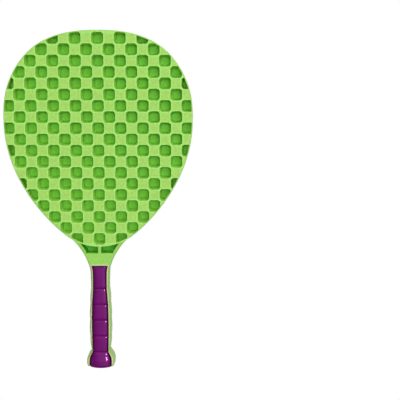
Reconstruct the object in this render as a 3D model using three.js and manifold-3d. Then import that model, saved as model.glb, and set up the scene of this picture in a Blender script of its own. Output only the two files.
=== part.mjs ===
// A beach tennis racket, lying face up with its handle towards -Y.
// The green body is one moulding: head, throat and the two rails of the handle with a web
// between them. A purple grip insert is pressed into the handle from the front and another
// from the back, and the pins of the front one pass through the web into the back one.
import * as THREE from "three";
import { mergeVertices } from "three/addons/utils/BufferGeometryUtils.js";
import Module from "manifold-3d";

// Lengths are in millimetres. A drop is a distance down the racket from its tip.

// Head
const headLength = 240.9;
const headWidth = 210.4;
const headThickness = 16;
const crownCornerWidth = 163.5;
const crownCornerDrop = 28.5;
const widestDrop = 98.9;
const shoulderWidth = 64.9;
const shoulderRise = 8.9;
const rimWidth = 1.2;
const rimBevel = 0.8;

// Checkerboard of square cells, open by turns to the front and to the back
const cellPitch = 12.4;
const topRowSetback = 2.7;
const cellMouthSpread = 0.9;
const cellCornerCut = 2.3;
const cellWall = 0.9;
const cellSkin = 1.5;
const smallestCellShare = 0.06;

// Throat
const throatLength = 20.6;
const throatPlateLength = 12.9;
const throatRibWidth = 3.4;
const throatSkin = 2;
const throatWall = 3.8;
const lipSetback = 0.9;
const neckWidth = 21.3;
const neckSetback = 9.2;

// Handle
const handleThickness = 22;
const gripWidth = 23.6;
const topSegmentLength = 26.9;
const segmentLength = 18.25;
const scallopDepth = 0.55;
const railWidth = 3.1;
const railRoundWidth = 2.2;
const railRoundHeight = 7;
const webThickness = 2.6;

// Butt
const buttLength = 19.1;
const buttWidth = 31.5;
const buttThickness = 26;
const railFlareRise = 1.7;
const railFlareLength = 12.5;
const buttRailWidth = 3.4;
const buttCornerLength = 4.5;
const buttCornerWidth = 4.1;
const buttBulge = 1.4;
const buttEndDrop = 2.5;
const webSetback = 4.2;

// Grip inserts
const insertWidth = 18.3;
const insertFlareLength = 10.3;
const insertClearance = 0.3;
const insertWall = 2;
const insertCrown = 0.5;
const insertEdgeDrop = 4;
const buttEdgeDrop = 5.5;
const crownBlendLength = 6;
const insertTopDrop = 1.6;
const segmentSwell = 0.35;
const grooveDepth = 0.5;
const grooveWidth = 1.8;
const pinDiameter = 5;
const pinBossWall = 2;
const pinDepth = 6;

// Headings are unit directions in plan, across and along. Pulls set how far a curve
// follows its heading, as shares of the size that the curve spans.
const crownHeadingShares = [0.655, -0.756];
const shoulderHeadingShares = [-0.925, -0.381];
const crownPullShares = [0.22, 0.455];
const cheekPullShares = [0.516, 0.213];
const sidePullShares = [0.589, 0.054];
const throatPullShares = [0.145, 0.345];
const flareHeadingShares = [0.45, -0.893];
const flarePullShares = [0.35, 0.45];

// How square the crown of an insert is: with a power of 2 its section is an ellipse, and
// with a higher one it is flatter on top and rounder at its edges.
const crownPower = 3;
const buttCrownPower = 2.1;

// Widths of the handle and of an insert at the grooves between the segments, from the neck
// to the butt.
const grooveWidthShares = [0.863, 0.953, 1, 0.997, 0.875];
const insertWidthShares = [0.814, 0.962, 1, 0.995, 0.951];
// Where a section is drawn between two grooves, and along the butt.
const sectionShares = [1 / 3, 2 / 3];
const buttSectionShares = [1 / 6, 1 / 3, 1 / 2, 2 / 3, 5 / 6];
// Segments whose middle has a pin through the web.
const pinSegments = [0, 2, 4];

// How finely curves are split, and how far a cutter runs past what it cuts.
const headSteps = 14;
const handleSteps = 4;
const roundSteps = 3;
const pinSides = 16;
const crownSteps = 8;
const overrun = 3;
const mergeDistance = 1e-4;

const segmentCount = grooveWidthShares.length - 1;
const handleLength = topSegmentLength + segmentCount * segmentLength + buttLength;
const overallLength = headLength + throatLength + handleLength;
const tipY = overallLength / 2;
const buttY = -overallLength / 2;
const lipY = tipY - headLength - throatLength;
const channelTopY = lipY - lipSetback;
const insertTopY = channelTopY - insertClearance;
const plateY = lipY + throatPlateLength;
const shoulderY = tipY - headLength + shoulderRise;
const widestY = tipY - widestDrop;
const grooveYs = grooveWidthShares.map((share, k) => lipY - topSegmentLength - k * segmentLength);
const railFlareY = grooveYs.at(-1) + railFlareRise;

const middleZ = buttThickness / 2;
const headFrontZ = middleZ + headThickness / 2;
const headBackZ = middleZ - headThickness / 2;
const webFrontZ = middleZ + webThickness / 2;
const webBackZ = middleZ - webThickness / 2;
const insertBaseZ = webFrontZ + insertClearance;

const green = new THREE.MeshStandardMaterial({
  color: 0x94d64f,
  roughness: 0.42,
  metalness: 0,
});
const purple = new THREE.MeshStandardMaterial({
  color: 0x6e1d6b,
  roughness: 0.28,
  metalness: 0,
});

const wasm = await Module();
wasm.setup();
const { Manifold, Mesh } = wasm;

function toSolid(geometry) {
  const bare = geometry.clone();
  bare.deleteAttribute("normal");
  bare.deleteAttribute("uv");
  const merged = mergeVertices(bare, mergeDistance);
  const vertProperties = merged.attributes.position.array;
  const triVerts = new Uint32Array(merged.index.array);
  return new Manifold(new Mesh({ numProp: 3, vertProperties, triVerts }));
}

function toGeometry(solid) {
  const { vertProperties, triVerts, numProp } = solid.getMesh();
  const geometry = new THREE.BufferGeometry();
  geometry.setAttribute("position", new THREE.BufferAttribute(vertProperties, numProp));
  geometry.setIndex(new THREE.BufferAttribute(triVerts, 1));
  geometry.computeVertexNormals();
  return geometry;
}

// A flat plate between two heights, from its outline in plan.
function plate(points, lowZ, highZ) {
  const depth = highZ - lowZ;
  const geometry = new THREE.ExtrudeGeometry(new THREE.Shape(points), { depth, bevelEnabled: false });
  return toSolid(geometry.translate(0, 0, lowZ));
}

// The same plate with its two outer edges rounded inwards.
function roundedPlate(points, thickness, roundWidth, roundHeight, steps) {
  const depth = thickness - 2 * roundHeight;
  const geometry = new THREE.ExtrudeGeometry(new THREE.Shape(points), {
    depth,
    bevelThickness: roundHeight,
    bevelSize: roundWidth,
    bevelOffset: -roundWidth,
    bevelSegments: steps,
  });
  return toSolid(geometry.translate(0, 0, middleZ - depth / 2));
}

// A block across the whole width, between two places along the racket and two heights.
function band(lowY, highY, lowZ, highZ, width = headWidth + 2 * overrun) {
  const geometry = new THREE.BoxGeometry(width, highY - lowY, highZ - lowZ);
  return toSolid(geometry.translate(0, (lowY + highY) / 2, (lowZ + highZ) / 2));
}

// A solid whose outline is drawn from the side, as points along Y and up Z.
function sideways(points, width) {
  const geometry = new THREE.ExtrudeGeometry(new THREE.Shape(points), {
    depth: width,
    bevelEnabled: false,
  });
  geometry.translate(0, 0, -width / 2);
  const turn = new THREE.Matrix4().makeBasis(
    new THREE.Vector3(0, 1, 0),
    new THREE.Vector3(0, 0, 1),
    new THREE.Vector3(1, 0, 0),
  );
  return toSolid(geometry.applyMatrix4(turn));
}

function upright(diameter, y, lowZ, highZ) {
  const radius = diameter / 2;
  const geometry = new THREE.CylinderGeometry(radius, radius, highZ - lowZ, pinSides);
  geometry.rotateX(Math.PI / 2);
  return toSolid(geometry.translate(0, y, (lowZ + highZ) / 2));
}

// Extends a path by a cubic that leaves along one heading and arrives along another.
function bend(path, leave, leavePull, arrive, arrivePull, x, y) {
  const start = path.currentPoint;
  path.bezierCurveTo(
    start.x + leave[0] * leavePull,
    start.y + leave[1] * leavePull,
    x - arrive[0] * arrivePull,
    y - arrive[1] * arrivePull,
    x,
    y,
  );
}

const across = [1, 0];
const down = [0, -1];

// The right side of the head, from the tip to the shoulder.
function headSide() {
  const cornerX = crownCornerWidth / 2;
  const cornerY = tipY - crownCornerDrop;
  const cheek = cornerY - widestY;
  const side = widestY - shoulderY;
  const path = new THREE.Path();
  path.moveTo(0, tipY);
  bend(
    path,
    across,
    crownPullShares[0] * cornerX,
    crownHeadingShares,
    crownPullShares[1] * cornerX,
    cornerX,
    cornerY,
  );
  bend(
    path,
    crownHeadingShares,
    cheekPullShares[0] * cheek,
    down,
    cheekPullShares[1] * cheek,
    headWidth / 2,
    widestY,
  );
  bend(
    path,
    down,
    sidePullShares[0] * side,
    shoulderHeadingShares,
    sidePullShares[1] * side,
    shoulderWidth / 2,
    shoulderY,
  );
  return path.getPoints(headSteps);
}

// The right side of the throat, from the shoulder to the neck.
function throatSide() {
  const neckY = lipY - neckSetback;
  const throat = shoulderY - neckY;
  const path = new THREE.Path();
  path.moveTo(shoulderWidth / 2, shoulderY);
  bend(
    path,
    shoulderHeadingShares,
    throatPullShares[0] * throat,
    down,
    throatPullShares[1] * throat,
    neckWidth / 2,
    neckY,
  );
  return path.getPoints(headSteps);
}

// The right side of the handle down to where the butt flares: straight runs between the
// notches at the grooves, each swelling outwards by the scallops' depth.
function handleSide() {
  const points = [];
  const notchYs = [...grooveYs.slice(0, -1), railFlareY];
  const notches = notchYs.map((y, k) => new THREE.Vector2((grooveWidthShares[k] * gripWidth) / 2, y));
  notches.slice(1).forEach((end, k) => {
    const start = notches[k];
    const middle = start.clone().lerp(end, 1 / 2);
    middle.x += 2 * scallopDepth;
    const segment = new THREE.QuadraticBezierCurve(start, middle, end);
    points.push(...segment.getPoints(handleSteps).slice(0, -1));
  });
  points.push(notches.at(-1));
  return points;
}

// A side of the butt as it flares out to a half width over a length.
function flare(startX, startY, endX, length) {
  const path = new THREE.Path();
  path.moveTo(startX, startY);
  bend(
    path,
    flareHeadingShares,
    flarePullShares[0] * length,
    down,
    flarePullShares[1] * length,
    endX,
    startY - length,
  );
  return path.getPoints(handleSteps);
}

// The rounded corner of the butt and its slightly bulging end, to the middle.
function buttEnd() {
  const cornerX = buttWidth / 2 - buttCornerWidth;
  const cornerY = buttY + buttBulge;
  const path = new THREE.Path();
  path.moveTo(buttWidth / 2, cornerY + buttCornerLength);
  path.quadraticCurveTo(buttWidth / 2, cornerY, cornerX, cornerY);
  path.quadraticCurveTo(cornerX / 2, buttY, 0, buttY);
  return path.getPoints(handleSteps);
}

// Closes a right side with its mirror image.
function mirrored(points) {
  const left = points
    .filter((p) => p.x > 0)
    .map((p) => new THREE.Vector2(-p.x, p.y))
    .reverse();
  return [...points, ...left];
}

// Moves a closed outline, drawn clockwise, inwards by a distance.
function inset(points, distance) {
  return points.map((p, i) => {
    const before = points.at(i - 1);
    const after = points[(i + 1) % points.length];
    const into = p.clone().sub(before).normalize();
    const out = after.clone().sub(p).normalize();
    const along = into.clone().add(out).normalize();
    const inward = new THREE.Vector2(along.y, -along.x);
    return p.clone().addScaledVector(inward, distance / along.dot(into));
  });
}

// The arc that closes the bottom of the head between its shoulders.
function bottomArc() {
  const halfWidth = shoulderWidth / 2;
  const radius = (halfWidth ** 2 + shoulderRise ** 2) / (2 * shoulderRise);
  const reach = Math.asin(halfWidth / radius);
  const centreY = tipY - headLength + radius;
  return Array.from({ length: headSteps + 1 }, (_, k) => {
    const angle = reach * (1 - k / headSteps);
    return new THREE.Vector2(radius * Math.sin(angle), centreY - radius * Math.cos(angle));
  });
}

const headOutline = mirrored([...headSide(), ...bottomArc().slice(1)]);
const railSide = [...throatSide(), ...handleSide()];
const buttFlare = flare(railSide.at(-1).x, railFlareY, buttWidth / 2, railFlareLength);
const racketOutline = mirrored([
  ...headSide(),
  ...railSide.slice(1, -1),
  ...buttFlare,
  ...buttEnd(),
]);

// Moves an open side, drawn down the right, inwards by a distance.
function moveIn(side, distance) {
  return side.map((p, i) => {
    const before = side[Math.max(i - 1, 0)];
    const after = side[Math.min(i + 1, side.length - 1)];
    const along = after.clone().sub(before).normalize();
    return new THREE.Vector2(p.x + along.y * distance, p.y - along.x * distance);
  });
}

// The right side of an insert, and with a gap below zero the inner edge of the rail: the
// throat's side moved in by a rail, straight runs between the grooves, then a flare and
// straight down out of the butt.
function gripSide(gap) {
  const top = moveIn(throatSide(), railWidth + gap);
  const grooves = grooveYs.map((y, k) =>
    new THREE.Vector2((insertWidthShares[k] * insertWidth) / 2 - gap, y),
  );
  const endX = buttWidth / 2 - buttRailWidth - gap;
  const out = flare(grooves.at(-1).x, grooveYs.at(-1), endX, insertFlareLength);
  return [...top, ...grooves.slice(0, -1), ...out, new THREE.Vector2(endX, buttY - overrun)];
}

// How far a side reaches from the middle at one place along the racket.
function reachAt(side, y) {
  const below = side.findIndex((p) => p.y <= y);
  const a = side[below - 1];
  const b = side[below];
  return THREE.MathUtils.mapLinear(y, a.y, b.y, a.x, b.x);
}

// The part of a side below one place, closed across the top.
function sideBelow(side, y) {
  return [new THREE.Vector2(reachAt(side, y), y), ...side.filter((p) => p.y < y)];
}

function octagon(size, cut) {
  const half = size / 2;
  const corner = half - cut;
  const quarter = [
    [corner, half],
    [half, corner],
  ];
  return [0, 1, 2, 3].flatMap((turn) =>
    quarter.map(([x, y]) =>
      new THREE.Vector2(x, y).rotateAround(new THREE.Vector2(), (-turn * Math.PI) / 2),
    ),
  );
}

// Cutters for every second cell of the checkerboard, open to the front and trimmed by the
// inner edge of the rim. A mouth is wider than the pitch by the spread, and the closed
// square beside it is as much narrower. The walls lean inwards by the spread and a wall, so
// that two neighbours, open to opposite faces, are one wall apart at every depth.
function cells(parity) {
  const mouthSize = cellPitch + cellMouthSpread;
  const lean = cellMouthSpread + cellWall;
  const mouth = octagon(mouthSize, cellCornerCut);
  const floor = octagon(mouthSize - 2 * lean, cellCornerCut - (2 - Math.SQRT2) * lean);
  const rings = [
    [mouth, headFrontZ + overrun],
    [mouth, headFrontZ],
    [floor, headBackZ + cellSkin],
  ];
  const one = loft(rings.map(([points, z]) => points.map((p) => new THREE.Vector3(p.x, p.y, z))));
  const field = plate(inset(headOutline, rimWidth), headBackZ, headFrontZ + 2 * overrun);
  const columns = Math.ceil(headWidth / 2 / cellPitch);
  const rows = Math.ceil(headLength / cellPitch);
  const topY = tipY - topRowSetback - cellPitch / 2;
  const cutters = [];
  for (let row = 0; row < rows; row++) {
    for (let column = -columns; column <= columns; column++) {
      if (Math.abs(row + column) % 2 !== parity) continue;
      const cell = one.translate([column * cellPitch, topY - row * cellPitch, 0]).intersect(field);
      if (cell.volume() > smallestCellShare * one.volume()) cutters.push(cell);
    }
  }
  return Manifold.union(cutters);
}

// The outline of head and throat, moved in by the wall of the throat.
function throatInside() {
  return inset(racketOutline.filter((p) => p.y >= lipY), throatWall);
}

// The two shallow windows of the throat, either side of a thin rib.
function throatWindows() {
  const floorZ = headBackZ + cellSkin;
  const topZ = headFrontZ + overrun;
  const rib = band(plateY - overrun, shoulderY + overrun, 0, topZ + overrun, throatRibWidth);
  return plate(throatInside(), floorZ, topZ)
    .intersect(band(plateY, shoulderY, floorZ, topZ))
    .subtract(plate(headOutline, 0, topZ + overrun))
    .subtract(rib);
}

// The throat plate is hollow from behind.
function throatHollow() {
  const topZ = headFrontZ - throatSkin;
  return plate(throatInside(), -overrun, topZ).intersect(
    band(lipY + throatWall, plateY - throatWall, -overrun, topZ),
  );
}

// Half the thickness along the racket: the throat thickens from the head to the handle,
// and the butt flares.
const thicknessSide = [
  [headThickness / 2, shoulderY],
  [headThickness / 2, plateY],
  [handleThickness / 2, lipY],
  [handleThickness / 2, railFlareY],
  [buttThickness / 2 - insertCrown, railFlareY - railFlareLength],
  [buttThickness / 2 - insertCrown, buttY + buttBulge],
  [handleThickness / 2, buttY],
].map(([z, y]) => new THREE.Vector2(z, y));

function sideProfile() {
  const upper = thicknessSide.map((p) => new THREE.Vector2(p.y, middleZ + p.x));
  const lower = thicknessSide.map((p) => new THREE.Vector2(p.y, middleZ - p.x)).reverse();
  return sideways([...upper, ...lower], headWidth);
}

function mirrorZ(solid) {
  return solid
    .translate([0, 0, -middleZ])
    .mirror([0, 0, 1])
    .translate([0, 0, middleZ]);
}

const pinYs = pinSegments.map((k) => (([insertTopY, ...grooveYs][k] + grooveYs[k]) / 2));

function racketBody() {
  const slab = roundedPlate(
    racketOutline.filter((p) => p.y >= lipY),
    headThickness,
    rimBevel,
    rimBevel,
    1,
  );
  const stem = roundedPlate(
    racketOutline.filter((p) => p.y <= (plateY + shoulderY) / 2),
    buttThickness,
    railRoundWidth,
    railRoundHeight,
    roundSteps,
  ).intersect(sideProfile());
  const channelSide = gripSide(-insertClearance);
  const channel = plate(mirrored(sideBelow(channelSide, channelTopY)), webFrontZ, buttThickness + overrun);
  const openEnd = plate(
    mirrored(sideBelow(channelSide, buttY + webSetback)),
    -overrun,
    buttThickness + overrun,
  );
  const holes = pinYs.map((y) => upright(pinDiameter + 2 * insertClearance, y, 0, buttThickness));
  return slab
    .add(stem)
    .subtract(cells(0))
    .subtract(mirrorZ(cells(1)))
    .subtract(throatWindows())
    .subtract(throatHollow())
    .subtract(channel)
    .subtract(mirrorZ(channel))
    .subtract(openEnd)
    .subtract(Manifold.union(holes));
}

// A closed skin through rings that each hold the same number of points.
function loft(rings) {
  const count = rings[0].length;
  const index = [];
  for (let ring = 0; ring < rings.length - 1; ring++) {
    for (let k = 0; k < count; k++) {
      const a = ring * count + k;
      const b = ring * count + ((k + 1) % count);
      index.push(a, b, a + count, b, b + count, a + count);
    }
  }
  const last = (rings.length - 1) * count;
  for (let k = 1; k < count - 1; k++) {
    index.push(0, k + 1, k, last, last + k, last + k + 1);
  }
  const geometry = new THREE.BufferGeometry().setFromPoints(rings.flat());
  geometry.setIndex(index);
  return toSolid(geometry);
}

// One section across an insert: straight sides up to its edges, and a domed top that is
// half of a superellipse. The dome is rounder on the butt than on the handle.
function domedSection(y, halfWidth, baseZ, crownZ) {
  const blend = THREE.MathUtils.clamp((grooveYs.at(-1) - y) / crownBlendLength, 0, 1);
  const power = THREE.MathUtils.lerp(crownPower, buttCrownPower, blend);
  const drop = THREE.MathUtils.lerp(insertEdgeDrop, buttEdgeDrop, blend);
  const squared = (share) => Math.sign(share) * Math.abs(share) ** (2 / power);
  const top = Array.from({ length: crownSteps + 1 }, (_, k) => {
    const angle = (Math.PI * k) / crownSteps;
    const z = crownZ - drop * (1 - squared(Math.sin(angle)));
    return new THREE.Vector3(halfWidth * squared(Math.cos(angle)), y, z);
  });
  return [
    new THREE.Vector3(-halfWidth, y, baseZ),
    new THREE.Vector3(halfWidth, y, baseZ),
    ...top,
  ];
}

// Places down an insert where its section is drawn, each with the sink of its crown below
// its highest level. Every segment swells between its grooves.
function crownPlaces() {
  const places = [{ y: insertTopY, sink: insertTopDrop + segmentSwell }];
  const starts = [insertTopY, ...grooveYs];
  const ends = [...grooveYs, buttY];
  starts.forEach((start, k) => {
    const end = ends[k];
    const atButt = k === starts.length - 1;
    places.push({ y: start - grooveWidth / 2, sink: segmentSwell });
    for (const share of atButt ? buttSectionShares : sectionShares) {
      const y = THREE.MathUtils.lerp(start, end, share);
      const swell = atButt ? 1 : 4 * share * (1 - share);
      places.push({ y, sink: segmentSwell * (1 - swell), broad: true });
    }
    if (!atButt) {
      places.push({ y: end + grooveWidth / 2, sink: segmentSwell });
      places.push({ y: end, sink: segmentSwell + grooveDepth });
    }
  });
  places.push({ y: buttY, sink: buttEndDrop });
  places.push({ y: buttY - overrun, sink: 2 * buttEndDrop });
  return places;
}

// The hollow shell of the front insert, open towards the web. Its end wall reaches down
// past the end of the web to the middle of the handle.
function insertShell() {
  const side = gripSide(0);
  const crownAt = (y) => middleZ + reachAt(thicknessSide, Math.max(y, buttY + buttBulge)) + insertCrown;
  const outer = crownPlaces().map(({ y, sink }) => {
    return domedSection(y, reachAt(side, y), insertBaseZ, crownAt(y) - sink);
  });
  const hollowTop = insertTopY - insertWall;
  const hollowEnd = buttY + webSetback;
  const hollowPlaces = crownPlaces().filter(({ y, broad }) => broad && y < hollowTop && y > hollowEnd);
  const hollow = [hollowTop, ...hollowPlaces.map(({ y }) => y), hollowEnd].map((y) => {
    const crownZ = crownAt(y) - segmentSwell - grooveDepth - insertWall;
    return domedSection(y, reachAt(side, y) - insertWall, insertBaseZ - overrun, crownZ);
  });
  const endWall = plate(
    mirrored(sideBelow(side, buttY + webSetback - insertClearance)),
    middleZ + insertClearance / 2,
    insertBaseZ + insertWall,
  );
  return loft(outer)
    .subtract(loft(hollow))
    .add(endWall)
    .intersect(plate(racketOutline, -overrun, buttThickness + overrun));
}

const pinEndZ = webBackZ - insertClearance - pinDepth;
const bossDiameter = pinDiameter + 2 * pinBossWall;
const crownInnerZ =
  middleZ + handleThickness / 2 + insertCrown - segmentSwell - grooveDepth - insertWall;

function frontInsert() {
  const pins = pinYs.flatMap((y) => [
    upright(bossDiameter, y, insertBaseZ, crownInnerZ + insertWall / 2),
    upright(pinDiameter, y, pinEndZ, insertBaseZ + insertWall),
  ]);
  return insertShell().add(Manifold.union(pins));
}

function backInsert() {
  const bosses = pinYs.map((y) => upright(bossDiameter, y, insertBaseZ, crownInnerZ + insertWall / 2));
  const bore = pinDiameter + 2 * insertClearance;
  const boreTopZ = 2 * middleZ - pinEndZ + insertClearance;
  const bores = pinYs.map((y) => upright(bore, y, insertBaseZ - overrun, boreTopZ));
  return mirrorZ(insertShell().add(Manifold.union(bosses)).subtract(Manifold.union(bores)));
}

function addPart(group, name, solid, material) {
  const mesh = new THREE.Mesh(toGeometry(solid), material);
  mesh.name = name;
  group.add(mesh);
}

const racket = new THREE.Group();
addPart(racket, "racket_body", racketBody(), green);
addPart(racket, "front_grip_insert", frontInsert(), purple);
addPart(racket, "back_grip_insert", backInsert(), purple);

export default racket;
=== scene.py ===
import math

import bpy
import numpy as np
from mathutils import Matrix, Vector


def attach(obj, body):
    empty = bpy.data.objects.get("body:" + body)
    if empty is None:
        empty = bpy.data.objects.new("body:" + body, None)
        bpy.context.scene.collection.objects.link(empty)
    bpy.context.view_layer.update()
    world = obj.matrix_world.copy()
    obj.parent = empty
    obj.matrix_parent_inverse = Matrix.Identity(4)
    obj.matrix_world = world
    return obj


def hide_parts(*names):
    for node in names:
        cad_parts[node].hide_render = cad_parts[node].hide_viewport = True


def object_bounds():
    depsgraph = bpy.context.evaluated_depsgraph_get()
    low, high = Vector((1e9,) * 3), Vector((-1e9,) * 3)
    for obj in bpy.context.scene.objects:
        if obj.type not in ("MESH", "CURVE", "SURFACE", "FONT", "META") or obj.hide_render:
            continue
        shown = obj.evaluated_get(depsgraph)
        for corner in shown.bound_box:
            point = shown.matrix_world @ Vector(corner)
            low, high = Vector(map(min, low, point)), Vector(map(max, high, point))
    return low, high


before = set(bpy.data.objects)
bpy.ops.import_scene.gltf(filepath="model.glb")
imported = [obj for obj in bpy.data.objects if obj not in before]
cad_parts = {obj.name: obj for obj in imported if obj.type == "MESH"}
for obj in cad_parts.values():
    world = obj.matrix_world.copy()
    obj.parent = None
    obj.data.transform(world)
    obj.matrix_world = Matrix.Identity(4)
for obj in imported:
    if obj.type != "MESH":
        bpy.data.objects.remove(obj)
cadLow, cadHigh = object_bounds()
tipY, buttY = cadHigh.y, cadLow.y
middleZ = (cadLow.z + cadHigh.z) / 2
overrun = 0.003  # how far a cutter runs past what it cuts
sliver = 1e-5  # a step along the racket too short to see
print("frame loaded:", sorted(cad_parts))

# The racket seen from the front, right half, in metres. Pairs are across and along, and
# pulls are shares of a span at a curve's two ends.
plan = {
    "headLength": 0.2409,
    "headHalf": 0.008,
    "crownCorner": (0.08175, -0.0285),
    "crownPulls": (0.22, 0.455),
    "cheekPulls": (0.516, 0.213),
    "widest": (cadHigh.x, -0.0989),
    "sidePulls": (0.589, 0.054),
    "shoulder": (0.03245, 0.0089),
    "throatPulls": (0.145, 0.345),
    "throatLength": 0.0206,
    "plateLength": 0.0129,
    "neckHalf": 0.01065,
    "neckSetback": 0.0092,
    "gripHalf": 0.0118,
    "gripHalfThickness": 0.011,
    "topSegment": 0.0269,
    "segment": 0.01825,
    "grooveShares": (0.863, 0.953, 1, 0.997, 0.875),
    "rail": 0.0031,
    "flareRise": 0.0017,
    "flareLength": 0.0125,
    "flarePulls": (0.35, 0.45),
    "buttHalf": 0.01575,
    "buttHalfThickness": 0.0125,
    "buttRail": 0.0034,
    "buttCorner": (0.0041, 0.0045),
    "buttBulge": 0.0014,
}
# Steps or points along the curves of the plan
planCounts = {
    "sideSteps": 36,
    "arcPoints": 33,
    "throatSteps": 60,
    "flareSteps": 16,
    "gripTopPoints": 200,
}
across, down = (1, 0), (0, -1)
crownHeading = (0.655, -0.756)
shoulderHeading = (-0.925, -0.381)
flareHeading = (0.45, -0.893)

headEndY = tipY - plan["headLength"]
shoulderY = headEndY + plan["shoulder"][1]
lipY = headEndY - plan["throatLength"]
plateY = lipY + plan["plateLength"]
neckY = lipY - plan["neckSetback"]
grooveYs = lipY - plan["topSegment"] - plan["segment"] * np.arange(len(plan["grooveShares"]))
flareY = grooveYs[-1] + plan["flareRise"]
# Radius of the arc that closes the head's bottom: (half width^2 + rise^2) / (2 rise).
shoulderHalf, shoulderRise = plan["shoulder"]
arcRadius = (shoulderHalf**2 + shoulderRise**2) / (2 * shoulderRise)


def bend(start, leave, end, arrive, pulls, span, steps=24):
    # A cubic: the middle control points lie out along the leaving heading and back along
    # the arriving one by pulls of a span, weighted (1-t)^3, 3t(1-t)^2, 3t^2(1-t), t^3.
    start, end = np.array(start), np.array(end)
    near = start + np.array(leave) * pulls[0] * span
    far = end - np.array(arrive) * pulls[1] * span
    t = np.linspace(0, 1, steps + 1)[:, None]
    s = 1 - t
    return s**3 * start + 3 * t * s**2 * near + 3 * t**2 * s * far + t**3 * end


def headSide():
    steps = planCounts["sideSteps"]
    crownX, crownY = plan["crownCorner"][0], tipY + plan["crownCorner"][1]
    wideX, wideY = plan["widest"][0], tipY + plan["widest"][1]
    cheek, side = crownY - wideY, wideY - shoulderY
    corner, wide, shoulder = (crownX, crownY), (wideX, wideY), (shoulderHalf, shoulderY)
    crown = bend((0, tipY), across, corner, crownHeading, plan["crownPulls"], crownX)
    cheekRun = bend(corner, crownHeading, wide, down, plan["cheekPulls"], cheek)
    sideRun = bend(wide, down, shoulder, shoulderHeading, plan["sidePulls"], side, steps)
    return np.vstack([crown, cheekRun[1:], sideRun[1:]])


def headBottom():
    # The arc through both shoulders and the head's lowest point, from right to left:
    # x = r sin(a), y = end + r (1 - cos a).
    a = math.asin(shoulderHalf / arcRadius) * np.linspace(1, -1, planCounts["arcPoints"])
    return np.column_stack([arcRadius * np.sin(a), headEndY + arcRadius * (1 - np.cos(a))])


def throatReach(y):
    # Half width of the throat at y, read off the cubic from the shoulder to the neck.
    start, end, span = (shoulderHalf, shoulderY), (plan["neckHalf"], neckY), shoulderY - neckY
    pulls, steps = plan["throatPulls"], planCounts["throatSteps"]
    curve = bend(start, shoulderHeading, end, down, pulls, span, steps)
    return np.interp(-y, -curve[:, 1], curve[:, 0])


notchYs = np.append(grooveYs[:-1], flareY)
notchHalves = plan["gripHalf"] * np.array(plan["grooveShares"])


def sideReach(y, swell=0.0):
    # Half width from the shoulder to the flare: the throat's cubic, then straight runs from
    # notch to notch that each swell by swell * 4 s (1 - s), s being the share of the run.
    y = np.asarray(y, float)
    straightYs, halves = np.append(neckY, notchYs), np.append(plan["neckHalf"], notchHalves)
    straight = np.interp(-y, -straightYs, halves)
    run = np.clip(np.searchsorted(-notchYs, -y, side="right") - 1, 0, len(notchYs) - 2)
    s = (notchYs[run] - y) / (notchYs[run] - notchYs[run + 1])
    straight += np.where((s > 0) & (s < 1), swell * 4 * s * (1 - s), 0)
    return np.where(y > neckY, throatReach(y), straight)


def flareOut(start, endX, length):
    # A side of the butt as it flares out to a half width over a length.
    end, steps = (endX, start[1] - length), planCounts["flareSteps"]
    return bend(start, flareHeading, end, down, plan["flarePulls"], length, steps)


def halfThickness(y):
    # Half the racket's thickness along its length.
    head, handle = plan["headHalf"], plan["gripHalfThickness"]
    butt, bulgeY = plan["buttHalfThickness"], buttY + plan["buttBulge"]
    places = [shoulderY, plateY, lipY, flareY, flareY - plan["flareLength"], bulgeY, buttY]
    halves = [head, head, handle, handle, butt, butt, handle]
    return np.interp(-np.asarray(y), -np.array(places), halves)


def inwards(points, closed):
    # Unit normals of a clockwise path, pointing into what it surrounds: the direction from
    # the point before to the point after, turned right.
    ahead, behind = np.roll(points, -1, axis=-2), np.roll(points, 1, axis=-2)
    if not closed:
        ahead[..., -1, :], behind[..., 0, :] = points[..., -1, :], points[..., 0, :]
    along = ahead - behind
    along /= np.linalg.norm(along, axis=-1, keepdims=True)
    return np.stack([along[..., 1], -along[..., 0]], axis=-1)


def gripReach(y, gap):
    # Half width of an insert less a gap, which is below zero for the channel: the throat's
    # side moved in by a rail, straight runs between the grooves, then the flare.
    ys = np.linspace(shoulderY, neckY, planCounts["gripTopPoints"])
    top = np.column_stack([throatReach(ys), ys])
    top += inwards(top, False) * (plan["rail"] + gap)
    grooves = np.column_stack([grip["half"] * np.array(grip["grooveShares"]) - gap, grooveYs])
    endX = plan["buttHalf"] - plan["buttRail"] - gap
    out = flareOut(grooves[-1], endX, grip["flareLength"])
    whole = np.vstack([top, grooves[:-1], out, [(endX, buttY - 2 * overrun)]])
    return np.interp(-np.asarray(y), -whole[:, 1], whole[:, 0])


# Grip inserts, in metres: half widths, drops and lengths. Rounds are down and along.
grip = {
    "half": 0.00915,
    "grooveShares": (0.814, 0.962, 1, 0.995, 0.951),
    "flareLength": 0.0103,
    "clearance": 0.0003,
    "crown": 0.0005,
    "edgeDrops": (0.004, 0.0055),
    "domePowers": (3, 2.1),
    "crownBlendLength": 0.006,
    "swell": 0.00035,
    "swellLength": 0.003,
    "grooveDepth": 0.0005,
    "grooveHalf": 0.0008,
    "topRound": (0.0016, 0.0016),
    "endRound": (0.0025, 0.0035),
    "wall": 0.002,
    "pin": 0.005,
    "bossWall": 0.002,
    "pinDepth": 0.006,
    "pinSegments": (0, 2, 4),
    "butt": 0.012,  # how far up from the end the insert follows the butt's bulge
    "crowding": 0.09,  # of the sections towards the grooves
    "sections": 41,  # in each segment
    "domeSteps": 32,  # across the outside
    "innerSections": 60,
    "innerSteps": 16,  # across the hollow
    "sharpAngle": 40,
}


def meshPiece(name, points, faces):
    # A mesh object at the origin, from points in any array shape and lists of faces.
    mesh = bpy.data.meshes.new(name)
    mesh.from_pydata(np.reshape(points, (-1, 3)).tolist(), [], faces)
    piece = bpy.data.objects.new(name, mesh)
    bpy.context.scene.collection.objects.link(piece)
    return piece


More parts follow.
